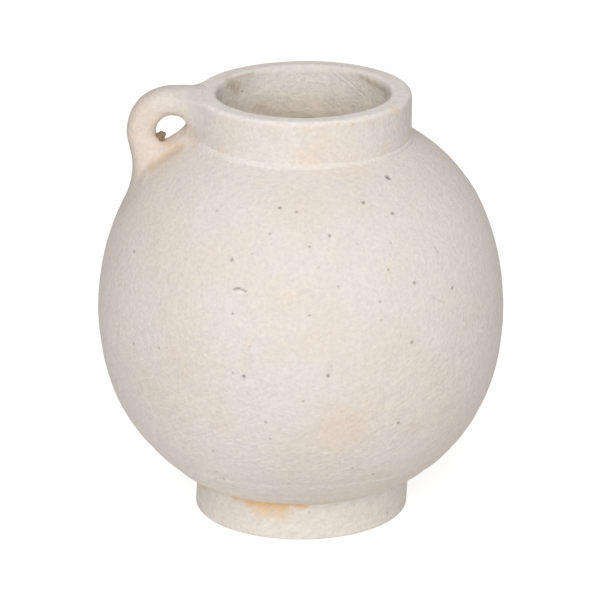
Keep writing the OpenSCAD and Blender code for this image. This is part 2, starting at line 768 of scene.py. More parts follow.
def srgb(red: int, green: int, blue: int) -> Colour:
    """A colour as a picture stores it, made linear.

    Args:
        red: 0 to 255.
        green: 0 to 255.
        blue: 0 to 255.

    Returns:
        The linear colour.
    """
    shares = (value / 255.0 for value in (red, green, blue))
    linear = [s / 12.92 if s <= 0.04045 else ((s + 0.055) / 1.055) ** 2.4 for s in shares]
    return linear[0], linear[1], linear[2]


class NodeSheet:
    """The nodes of one material."""

    stroke_radius: float = 100.0
    seam_overlap: Zone = (-0.4, 0.4)
    axis_fade: Zone = (20.0, 48.0)

    def __init__(self, name: str) -> None:
        """Start an empty material.

        Args:
            name: The material's name.
        """
        self.material = bpy.data.materials.new(name)
        self.material.use_nodes = True
        self.tree = self.material.node_tree
        self.tree.nodes.clear()

    def node(
        self,
        kind: str,
        settings: dict[str, object] | None = None,
        sockets: dict[str | int, object] | None = None,
        output: str | int = 0,
    ) -> Field:
        """Add a node.

        Args:
            kind: The node's type.
            settings: Its properties, which are set first.
            sockets: Values or links of its inputs, by name or place.
            output: The output that is returned.

        Returns:
            The output as a field.
        """
        made = self.tree.nodes.new(kind)
        for key, value in (settings or {}).items():
            setattr(made, key, value)
        for key, value in (sockets or {}).items():
            if isinstance(value, Field):
                self.tree.links.new(value.socket, made.inputs[key])
            elif isinstance(value, tuple) and len(value) == 3 and made.inputs[key].type == "RGBA":
                made.inputs[key].default_value = (*value, 1.0)
            else:
                made.inputs[key].default_value = value
        outputs = made.outputs
        return Field(self, outputs[output]) if len(outputs) else Field(self, made.inputs[0])

    def coordinates(self) -> Field:
        """Object coordinates in millimetres."""
        place = self.node("ShaderNodeTexCoord", output="Object")
        return self.node("ShaderNodeVectorMath", {"operation": "SCALE"}, {0: place, "Scale": 1.0 / MM})

    def cloud(self, place: Field, span: float, detail: float = 2.0, rough: float = 0.5) -> Field:
        """Noise over a piece.

        Args:
            place: Coordinates in millimetres.
            span: Size of its blots in millimetres.
            detail: Finer layers in it.
            rough: How strong they are.

        Returns:
            A field round 0.5.
        """
        return self.node(
            "ShaderNodeTexNoise",
            {"noise_dimensions": "3D"},
            {"Vector": place, "Scale": 1.0 / span, "Detail": detail, "Roughness": rough},
        )

    def blend(
        self, share: Field | float, under: Field | Colour, over: Field | Colour, mode: str = "MIX"
    ) -> Field:
        """Lay one colour over another.

        Args:
            share: How much of the upper one shows.
            under: The lower colour.
            over: The upper colour.
            mode: How they mix.

        Returns:
            The colour.
        """
        settings = {"data_type": "RGBA", "blend_type": mode, "clamp_factor": True}
        return self.node("ShaderNodeMix", settings, {0: share, 6: under, 7: over}, output=2)

    def grey(self, value: Field) -> Field:
        """A grey of a given value."""
        return self.node("ShaderNodeCombineColor", sockets={0: value, 1: value, 2: value})

    def painted(self, layer: Layer) -> Field:
        """What is painted on a layer of the piece."""
        return self.node("ShaderNodeAttribute", {"attribute_name": layer.value}, output="Fac")

    def height(self, place: Field) -> Field:
        """Height above the floor in millimetres."""
        return self.node("ShaderNodeSeparateXYZ", sockets={0: place}, output=2)

    def slanted(self, place: Field, along: float, across: float, slope: float) -> Field:
        """Strokes that run round the jug and climb, with no seam.

        Args:
            place: Coordinates in millimetres.
            along: Length of a stroke in millimetres.
            across: Width of a stroke in millimetres.
            slope: Climb of a stroke for each millimetre round the jug.

        Returns:
            A field round 0.5.
        """
        x = self.node("ShaderNodeSeparateXYZ", sockets={0: place})
        y, z = (Field(self, x.socket.node.outputs[i]) for i in (1, 2))
        reach = (x * x + y * y) ** 0.5
        patterns = []
        for side in (1.0, -1.0):
            round_jug = (y * side).arc(x * side) * self.stroke_radius
            spot = self.node(
                "ShaderNodeCombineXYZ",
                sockets={0: round_jug / along, 1: (z - round_jug * slope) / across, 2: reach / along},
            )
            patterns.append(self.cloud(spot, 1.0))
        front = (x / reach).step(*self.seam_overlap)
        strokes = patterns[0] * front + patterns[1] * (1.0 - front)
        return (strokes - 0.5) * reach.step(*self.axis_fade) + 0.5

    def surface(
        self, colour: Field, roughness: Field, relief: Field, specular: float
    ) -> bpy.types.Material:
        """Join colour, roughness and relief in one surface.

        Args:
            colour: Base colour.
            roughness: Roughness.
            relief: Height in millimetres.
            specular: Strength of the reflection.

        Returns:
            The material.
        """
        bump = self.node("ShaderNodeBump", sockets={"Height": relief, "Distance": MM, "Strength": 1.0})
        body = self.node(
            "ShaderNodeBsdfPrincipled",
            sockets={
                "Base Color": colour,
                "Roughness": roughness,
                "Normal": bump,
                "Specular IOR Level": specular,
            },
        )
        self.node("ShaderNodeOutputMaterial", sockets={"Surface": body})
        return self.material


@dataclass(frozen=True)
class Grain:
    """Blots of one size in a finish.

    Span is their size in millimetres, detail counts the finer layers in them, and rough is how strong
    those are. Shade and relief are how much the blots shade and lift the surface.
    """

    span: float
    detail: float
    rough: float
    shade: float = 0.0
    relief: float = 0.0

    def on(self, sheet: NodeSheet, place: Field) -> Field:
        """Lay the blots over a piece, as a field round 0.5."""
        return sheet.cloud(place, self.span, self.detail, self.rough)


@dataclass(frozen=True)
class Strokes:
    """Strokes of a brush or a hand in a finish.

    Along and across are the length and the width of a stroke in millimetres, and slope is its climb.
    Between the two heights of fade, the strokes lose the share that faded gives.
    """

    along: float
    across: float
    slope: float
    fade: Zone
    faded: float

    def on(self, sheet: NodeSheet, place: Field) -> Field:
        """Lay the strokes over a piece, as a field round 0."""
        left = 1.0 - sheet.height(place).step(*self.fade) * self.faded
        return (sheet.slanted(place, self.along, self.across, self.slope) - 0.5) * left


@dataclass(frozen=True)
class Limewash:
    """Thin limewash, brushed over pale earthenware and weathered, with painted light and painted shade from
    the pieces' layers.
    """

    cool: Colour = srgb(237, 229, 222)
    cream: Colour = srgb(237, 225, 214)
    peach: Colour = srgb(236, 213, 194)
    # Chalky wash, and also painted light on the left edge, inside the mouth and on the handle's crest.
    chalk: Colour = srgb(250, 244, 236)
    ochre: Colour = srgb(252, 208, 148)
    # Darkens pits and dirt, and also gives painted shade.
    soot_and_shade: Colour = srgb(120, 104, 90)
    lining: Colour = srgb(244, 232, 218)
    # Bare clay, and also painted shade in creases, hollows and under the rim's front edge.
    clay: Colour = srgb(166, 136, 106)
    slow: Grain = Grain(48.0, 3.0, 0.55)
    blot: Grain = Grain(17.0, 4.0, 0.62)
    mottle: Grain = Grain(5.0, 3.0, 0.6, shade=0.14, relief=0.45)
    sand: Grain = Grain(2.3, 2.0, 0.6, shade=0.26, relief=0.48)
    grit: Grain = Grain(0.9, 1.0, 0.5, shade=0.06, relief=0.06)
    brushed: Strokes = Strokes(9.0, 1.9, 0.55, fade=(90.0, 180.0), faded=0.9)
    turned: Strokes = Strokes(18.0, 1.7, 0.05, fade=(35.0, 80.0), faded=1.0)
    stroke_shade: float = 0.14
    stroke_relief: float = 0.3
    base_shade: float = 0.77
    lining_shade: float = 0.35
    cream_zone: Zone = (0.38, 0.62)
    peach_zone: Zone = (0.52, 0.74)
    peach_share: float = 0.2
    stain_zone: Zone = (0.0, 1.3)
    patchiness: float = 1.6
    soot_and_shade_share: float = 0.85
    roughness: float = 0.82
    rough_mottle: float = 0.16
    specular: float = 0.25

    def material(self) -> bpy.types.Material:
        """Make the finish.

        Returns:
            The material.
        """
        sheet = NodeSheet("limewash")
        place = sheet.coordinates()
        grains = (self.slow, self.blot, self.mottle, self.sand, self.grit)
        slow, blot, mottle, sand, grit = (grain.on(sheet, place) for grain in grains)
        lining = sheet.painted(Layer.LINING)
        strokes = (self.brushed.on(sheet, place) + self.turned.on(sheet, place)) * (1.0 - lining)

        colour = sheet.blend((slow * 0.6 + mottle * 0.4).step(*self.cream_zone), self.cool, self.cream)
        blush = sheet.painted(Layer.BLUSH) * (0.55 + mottle * 0.9)
        peach = (blot * 0.7 + slow * 0.3).step(*self.peach_zone) * self.peach_share
        colour = sheet.blend(peach + blush, colour, self.peach)
        colour = sheet.blend(lining * (0.5 + blot * 0.8), colour, self.lining)
        # Chalk, and painted light where the chalk layer carries it.
        chalk = sheet.painted(Layer.CHALK_AND_LIGHT) * (0.7 + mottle * 0.6)
        colour = sheet.blend(chalk, colour, self.chalk)
        patchy = (mottle * 0.6 + sand * 0.4 - 0.5) * self.patchiness
        # Ochre stains, and bare clay that also gives painted shade.
        for layer, over in ((Layer.OCHRE, self.ochre), (Layer.BARE_AND_SHADE, self.clay)):
            paint = sheet.painted(layer)
            colour = sheet.blend((paint + patchy * paint).step(*self.stain_zone), colour, over)
        # Soot over pits and dirt, and painted shade over the foot and on the coil's outer side.
        colour = sheet.blend(sheet.painted(Layer.PIT_AND_SHADE) * self.soot_and_shade_share, colour, self.soot_and_shade)
        shade = sand * self.sand.shade + grit * self.grit.shade
        shade = shade + strokes * self.stroke_shade + mottle * self.mottle.shade + self.base_shade
        shade = shade + (blot - 0.5) * lining * self.lining_shade
        colour = sheet.blend(1.0, colour, sheet.grey(shade), "MULTIPLY")

        relief = sand * self.sand.relief + grit * self.grit.relief
        relief = relief + strokes * self.stroke_relief + mottle * self.mottle.relief
        return sheet.surface(colour, self.roughness + mottle * self.rough_mottle, relief, self.specular)


@dataclass(frozen=True)
class BareClay:
    """Unwashed low-fired clay with grit in it."""

    pale: Colour = srgb(205, 178, 150)
    deep: Colour = srgb(168, 134, 103)
    blot: Grain = Grain(9.0, 4.0, 0.6, relief=0.3)
    grit: Grain = Grain(0.8, 3.0, 0.65, relief=0.25)
    deep_zone: Zone = (0.35, 0.65)
    roughness: float = 0.86
    rough_grit: float = 0.12
    specular: float = 0.2

    def material(self) -> bpy.types.Material:
        """Make the finish.

        Returns:
            The material.
        """
        sheet = NodeSheet("bare_clay")
        place = sheet.coordinates()
        blot, grit = (grain.on(sheet, place) for grain in (self.blot, self.grit))
        colour = sheet.blend((blot * 0.6 + grit * 0.4).step(*self.deep_zone), self.pale, self.deep)
        relief = grit * self.grit.relief + blot * self.blot.relief
        return sheet.surface(colour, self.roughness + grit * self.rough_grit, relief, self.specular)


@dataclass
class Globe:
    """The thrown globe: a bowl, a dome on it, and the coil over their seam inside."""

    widest: float
    seam_z: float
    underside_z: float
    neck_radius: float
    spigot_z: float
    belly_arc: float = 141.0
    belly_up: float = 24.5
    belly_down: float = 12.5
    shoulder_arc: float = 91.0
    hip_arc: float = 103.5
    wall: float = 8.0
    floor: float = 8.0
    spigot_radius: float = 54.6
    lap: float = 6.0
    coil: float = 6.0
    coil_sunk: float = 0.5
    seam_slack: float = 0.01
    # Painted shade in the corner over the foot.
    corner_shading: float = 0.07
    corner_shading_height: Zone = (30.0, 22.0)
    corner_shading_side: Zone = (-40.0, 5.0)
    right_chalk: float = 0.18
    right_side: Zone = (20.0, 95.0)
    shoulder_chalk: float = 0.14
    shoulder_height: Zone = (130.0, 175.0)
    # Painted light along the left edge.
    left_edge_light: float = 0.35
    left_edge_side: Zone = (-80.0, -112.0)
    left_edge_height: Zone = (170.0, 110.0)
    hip_chalk: float = 0.62
    hip_side: Zone = (-4.0, -54.0)
    hip_height: Zone = (112.0, 42.0)
    round_steps: int = 480
    coil_sides: int = 20
    coil_steps: int = 180

    def __post_init__(self) -> None:
        """Work out the centres of the outline's arcs."""
        self.belly = Vector((self.widest - self.belly_arc, self.seam_z))
        self.shoulder = self.belly + self.polar(self.belly_arc - self.shoulder_arc, self.belly_up)
        self.hip = self.belly + self.polar(self.belly_arc - self.hip_arc, -self.belly_down)
        over = self.neck_radius - self.shoulder.x
        self.neck_z = self.shoulder.y + math.sqrt(self.shoulder_arc**2 - over**2)

    @staticmethod
    def polar(radius: float, degrees: float) -> Vector:
        """Radius and height of a point at a distance and an angle above level."""
        return Vector((math.cos(math.radians(degrees)), math.sin(math.radians(degrees)))) * radius

    @staticmethod
    def angle_at(centre: Vector, radius: float, height: float) -> float:
        """Degrees above level at which an arc passes a height.

        Args:
            centre: The arc's centre.
            radius: Its radius.
            height: The height.

        Returns:
            Degrees.
        """
        return math.degrees(math.asin((height - centre.y) / radius))

    def below_neck(self, down: float) -> Vector:
        """Radius and height of a point on the shoulder, by its way down the arc from the neck."""
        start = self.angle_at(self.shoulder, self.shoulder_arc, self.neck_z)
        return self.shoulder + self.polar(self.shoulder_arc, start - math.degrees(down / self.shoulder_arc))

    def bowl(self) -> Workpiece:
        """Turn the lower bowl.

        Returns:
            The piece.
        """
        hip_in = self.hip_arc - self.wall
        low = self.angle_at(self.hip, self.hip_arc, self.underside_z)
        low_in = self.angle_at(self.hip, hip_in, self.underside_z + self.floor)
        pen = OutlinePen(self.widest, self.seam_z)
        pen.arc(self.belly, self.belly_down, 24)
        pen.arc(self.hip, -self.belly_down - low, 100)
        pen.line(0.0, self.underside_z, 5)
        pen.line(0.0, self.underside_z + self.floor)
        start_in = self.hip + self.polar(hip_in, low_in)
        pen.line(start_in.x, start_in.y, 4)
        pen.arc(self.hip, low_in + self.belly_down, 16)
        pen.arc(self.belly, -self.belly_down, 5)
        pen.line(self.widest - self.wall, self.seam_z + self.lap)
        pen.line(self.widest - self.wall / 2, self.seam_z + self.lap)
        pen.line(self.widest - self.wall / 2, self.seam_z)
        return self.halved("lower_bowl", pen.close().turn(self.round_steps))

    def dome(self) -> Workpiece:
        """Turn the shoulder dome.

        Returns:
            The piece.
        """
        shoulder_in = self.shoulder_arc - self.wall
        high = self.angle_at(self.shoulder, self.shoulder_arc, self.neck_z)
        high_in = self.angle_at(self.shoulder, shoulder_in, self.spigot_z)
        belly_in = self.belly_arc - self.wall
        lap_end = self.angle_at(self.belly, belly_in, self.seam_z + self.lap)
        pen = OutlinePen(self.widest, self.seam_z)
        pen.arc(self.belly, -self.belly_up, 46)
        pen.arc(self.shoulder, self.belly_up - high, 56)
        pen.line(self.spigot_radius, self.neck_z, 2)
        pen.line(self.spigot_radius, self.spigot_z, 2)
        pen.arc(self.shoulder, high_in - self.belly_up, 12)
        pen.arc(self.belly, self.belly_up - lap_end, 10)
        pen.line(self.widest - self.wall / 2, self.seam_z + self.lap)
        pen.line(self.widest - self.wall / 2, self.seam_z)
        return self.halved("shoulder_dome", pen.close().turn(self.round_steps))

    def halved(self, node: str, bm: BMesh) -> Workpiece:
        """Take one half of the globe in hand.

        Args:
            node: Its CAD node.
            bm: Its mesh.

        Returns:
            The piece, with its seam sharp and its inside painted.
        """
        piece = Workpiece(node, Slot.LIMEWASH, bm)
        middle = Vector((0.0, 0.0, self.seam_z))
        piece.sharpen(lambda edge: all(self.on_seam(vert.co) for vert in edge.verts))
        piece.paint(Layer.LINING, lambda co, normal: 1.0 if normal.dot(co - middle) < 0.0 else 0.0)
        # Chalk, with painted light along the left edge.
        piece.paint(Layer.CHALK_AND_LIGHT, self.pale)
        # Painted shade in the corner over the foot, on the pit layer.
        piece.paint(Layer.PIT_AND_SHADE, self.corner_shade)
        return piece

    def on_seam(self, point: Vector) -> bool:
        """Whether a point lies on the seam outside."""
        level = abs(point.z - self.seam_z) < self.seam_slack
        return level and math.hypot(point.x, point.y) > self.widest - self.seam_slack

    def corner_shade(self, point: Vector, normal: Vector) -> float:
        """Painted shade in the corner over the foot, less on the left."""
        return self.corner_shading * smooth(*self.corner_shading_height, point.z) * smooth(*self.corner_shading_side, point.x)

    def pale(self, point: Vector, normal: Vector) -> float:
        """How chalky the globe is: a little on the right and more round the lower left, with painted light
        along the left edge.

        Args:
            point: A point of the piece.
            normal: Not used.

        Returns:
            How much to paint, from 0 to 1.
        """
        low_left = smooth(*self.hip_side, point.x) * smooth(*self.hip_height, point.z)
        right = self.right_chalk + self.shoulder_chalk * smooth(*self.shoulder_height, point.z)
        # Painted light along the left edge.
        left = self.left_edge_light * smooth(*self.left_edge_side, point.x) * smooth(*self.left_edge_height, point.z)
        return right * smooth(*self.right_side, point.x) + max(self.hip_chalk * low_left, left)

    def seam_coil(self) -> Workpiece:
        """Press the coil over the seam inside.

        Returns:
            The piece.
        """
        centre = Vector((self.widest - self.wall + self.coil_sunk, self.seam_z))
        made = turned_coil(centre, self.coil, self.coil_sides, self.coil_steps)
        return Workpiece("belly_seam_coil", Slot.BARE_CLAY, made)


@dataclass
class Collar:
    """The neck: a strip collar with a thick flat rim, and the slip bead at its foot."""

    radius: float
    rim_z: float
    spigot_z: float
    seat_z: float
    mouth_radius: float = 48.6
    spigot_radius: float = 54.6
    outer_edge: float = 3.4
    inner_edge: float = 3.2
    off_centre: float = 1.2
    rim_chalk: float = 0.85
    rim_facing: Zone = (0.2, 0.8)
    far_rim: Zone = (0.0, 50.0)
    far_loss: float = 0.45
    lining_depth: Zone = (0.5, 0.05)
    # Painted light on the inside's far wall and at its ends.
    end_light: float = 0.9
    end_zone: Zone = (0.7, 1.0)
    far_zone: Zone = (0.4, 1.0)
    light_height: Zone = (-24.0, -10.0)
    bead: float = 2.9
    bead_flat: float = 0.55
    bead_out: float = 0.85
    bead_up: float = 0.53
    bead_thin: float = 0.5
    bead_thin_side: Zone = (-0.2, 0.75)
    bead_uneven: float = 0.22
    bead_lumps: float = 3.5
    bead_chalk: float = 0.3
    bead_sides: int = 22
    round_steps: int = 400

    def turned(self) -> Workpiece:
        """Turn the collar.

        Returns:
            The piece.
        """
        pen = OutlinePen(self.mouth_radius, self.spigot_z)
        pen.line(self.spigot_radius, self.spigot_z)
        pen.line(self.spigot_radius, self.seat_z)
        pen.line(self.radius, self.seat_z, 2)
        pen.line(self.radius, self.rim_z - self.outer_edge, 18)
        pen.arc(Vector((self.radius - self.outer_edge, self.rim_z - self.outer_edge)), -90.0, 7)
        pen.line(self.mouth_radius + self.inner_edge, self.rim_z, 8)
        pen.arc(Vector((self.mouth_radius + self.inner_edge, self.rim_z - self.inner_edge)), -90.0, 7)
        pen.line(self.mouth_radius, self.spigot_z, 20)
        piece = Workpiece("neck_collar", Slot.LIMEWASH, pen.close().turn(self.round_steps))
        piece.paint(Layer.LINING, lambda co, normal: self.inside(co))
        # Chalk on the rim, and painted light on the inside's far wall.
        piece.paint(Layer.CHALK_AND_LIGHT, self.pale)
        bmesh.ops.translate(piece.bm, vec=(self.off_centre, 0.0, 0.0), verts=piece.bm.verts)
        return piece

    def inside(self, point: Vector) -> float:
        """How far a point of the collar is inside the mouth, from 0 to 1.

        Args:
            point: A point of the piece.

        Returns:
            The share.
        """
        reach = math.hypot(point.x, point.y)
        start, end = self.lining_depth
        return smooth(self.mouth_radius + start, self.mouth_radius + end, reach)

    def pale(self, point: Vector, normal: Vector) -> float:
        """How chalky the collar is: most on the rim and less on its far side, with painted light on the
        inside's far wall.

        Args:
            point: A point of the piece.
            normal: The way that the surface faces there.

        Returns:
            How much to paint, from 0 to 1.
        """
        near = 1.0 - self.far_loss * smooth(*self.far_rim, point.y)
        rim = self.rim_chalk * smooth(*self.rim_facing, normal.z) * near
        return max(rim, self.inside(point) * self.far_light(point))

    def far_light(self, point: Vector) -> float:
        """Painted light on the inside, most on the upper half of the far wall and at both its ends.

        Args:
            point: A point of the piece.

        Returns:
            How much to paint, from 0 to 1.
        """
        ends = self.end_light * smooth(*self.end_zone, abs(point.x) / self.mouth_radius)
        far = max(smooth(*self.far_zone, point.y / self.mouth_radius), ends)
        return far * smooth(*self.light_height, point.z - self.rim_z)

    def beyond(self, point: Vector) -> float:
        """How far a point of the jug is outside the collar's wall, below zero inside it."""
        return math.hypot(point.x - self.off_centre, point.y) - self.radius

    def up_the_wall(self, up: float) -> Vector:
        """Radius and height of a point on the outside, by its way up from the seat and over the rim.

        Args:
            up: Millimetres up from the seat.

        Returns:
            Radius and height.
        """
        wall = self.rim_z - self.outer_edge - self.seat_z
        bend = self.outer_edge * math.pi / 2
        if up <= wall:
            return Vector((self.radius, self.seat_z + up))
        if up <= wall + bend:
            turn = (up - wall) / self.outer_edge
            drop = Vector((1.0 - math.cos(turn), 1.0 - math.sin(turn))) * self.outer_edge
            return Vector((self.radius, self.rim_z)) - drop
        return Vector((self.radius - self.outer_edge - (up - wall - bend), self.rim_z))

    def slip_bead(self) -> Workpiece:
        """Run the flattened bead of slip round the collar's foot.

        Returns:
            The piece.
        """
        corner = Vector((self.radius, self.seat_z))
        made = turned_coil(corner, self.bead, self.bead_sides, self.round_steps)
        piece = Workpiece("neck_luting_bead", Slot.LIMEWASH, made)
        for vert in piece.bm.verts:
            outward = Vector((vert.co.x, vert.co.y, 0.0)).normalized()
            core = outward * corner.x + Vector((0.0, 0.0, corner.y))
            out_of_corner = (outward * self.bead_out + Vector((0.0, 0.0, self.bead_up))).normalized()
            arm = vert.co - core
            proud = max(0.0, arm.dot(out_of_corner))
            thin = 1.0 - self.bead_thin * smooth(*self.bead_thin_side, outward.x)
            swell = thin * (1.0 + self.bead_uneven * noise.noise(outward * self.bead_lumps))
            vert.co = core + (arm - out_of_corner * (proud * (1.0 - self.bead_flat))) * swell
        piece.paint(Layer.CHALK_AND_LIGHT, lambda co, normal: self.bead_chalk)
        bmesh.ops.translate(piece.bm, vec=(self.off_centre, 0.0, 0.0), verts=piece.bm.verts)
        return piece


@dataclass
class Foot:
    """The ring that the jug stands on, and the coil worked into its corner underneath."""

    radius: float
    top_z: float
    wall: float = 15.0
    edge: float = 1.0
    sunk: float = 1.2
    coil: float = 6.0
    corner_z: float = 13.4
    off_centre: float = 0.55
    trim: float = 0.4
    slump: float = 0.5
    slump_height: Zone = (12.0, 0.0)
    bare: float = 0.8
    bare_facing: Zone = (-0.9, -0.99)
    blush: float = 0.5
    chalk: float = 0.95
    front_wear: float = 0.27
    front_height: Zone = (20.0, 10.0)
    round_steps: int = 400
    coil_sides: int = 18
    coil_steps: int = 160

    def ring(self) -> Workpiece:
        """Turn the foot ring.

        Returns:
            The piece.
        """
        inner, outer = self.radius - self.wall, self.radius - self.trim
        pen = OutlinePen(outer, self.top_z + self.sunk)
        pen.line(outer, self.edge, 16)
        pen.arc(Vector((outer - self.edge, self.edge)), 90.0, 6)
        pen.line(inner + self.edge, 0.0, 5)
        pen.arc(Vector((inner + self.edge, self.edge)), 90.0, 5)
        pen.line(inner, self.corner_z + self.sunk, 6)
        piece = Workpiece("foot_ring", Slot.LIMEWASH, pen.close().turn(self.round_steps))
        piece.paint(Layer.BARE_AND_SHADE, lambda co, normal: self.bare * smooth(*self.bare_facing, normal.z))
        piece.paint(Layer.BLUSH, lambda co, normal: self.blush)
        piece.paint(Layer.CHALK_AND_LIGHT, self.pale)
        for vert in piece.bm.verts:
            vert.co.x += self.off_centre - self.slump * smooth(*self.slump_height, vert.co.z)
        return piece

    def pale(self, point: Vector, normal: Vector) -> float:
        """How chalky the ring is: least low down on its front."""
        front = smooth(0.0, 1.0, -point.y / self.radius)
        return self.chalk - self.front_wear * front * smooth(*self.front_height, point.z)

    def corner_coil(self) -> Workpiece:
        """Work the coil into the corner under the bowl.

        Returns:
            The piece.
        """
        centre = Vector((self.radius - self.wall, self.corner_z))
        made = turned_coil(centre, self.coil, self.coil_sides, self.coil_steps)
        return Workpiece("foot_luting_coil", Slot.BARE_CLAY, made)


@dataclass
class Wad:
    """Clay smeared over a root of the handle.

    It is a fan of rays from a heart inside the pot. For an angle round the coil, ring gives the point where
    the coil ends and edge a point towards which the smear runs out. Surface gives the place where a ray
    from the heart leaves the clay.
    """

    node: str
    heart: Vector
    ring: Callable[[float], Vector]
    edge: Callable[[float], Vector]
    surface: Callable[[Vector, Vector], Vector]
    sunk: float = 0.14
    sunk_power: int = 6
    overshoot: float = 1.15
    core: float = 0.3
    steps: int = 34
    segments: int = 120

    def build(self) -> Workpiece:
        """Extrude the smear ring by ring.

        Returns:
            The piece.
        """
        bm = bmesh.new()
        bmesh.ops.create_circle(bm, cap_ends=True, segments=self.segments, radius=1.0)
        key = bm.verts.layers.float.new("turn")
        for vert in bm.verts:
            vert[key] = math.atan2(vert.co.x, vert.co.y)
            vert.co = self.ring(vert[key])
        ring = bm.edges[:]
        self.crease(ring)
        for step in range(1, self.steps + 1):
            ring, points = extrude(bm, ring)
            for vert in points:
                vert.co = self.smear(vert[key], step / self.steps)
        self.crease(ring)
        ring, points = extrude(bm, ring)
        for vert in points:
            vert.co = self.heart.lerp(vert.co, self.core)
        bmesh.ops.edgeloop_fill(bm, edges=ring)
        bm.verts.layers.float.remove(key)
        return Workpiece(self.node, Slot.LIMEWASH, bm)

    @staticmethod
    def crease(ring: Sequence[BMEdge]) -> None:
        """Keep a ring's cap out of the shading of its side."""
        for edge in ring:
            edge.smooth = False

    def smear(self, turn: float, share: float) -> Vector:
        """A point of the smear, which sinks a little into the pot where it runs out.

        Args:
            turn: Angle round the coil.
            share: 0 at the coil, 1 where the smear runs out.

        Returns:
            The point.
        """
        start, end = self.ring(turn) - self.heart, self.edge(turn) - self.heart
        way = start.normalized().slerp(end.normalized(), share)
        farthest = self.overshoot * max(start.length, end.length)
        reach = min((self.surface(self.heart, way) - self.heart).length, farthest)
        return self.heart + way * (reach - self.sunk * share**self.sunk_power)


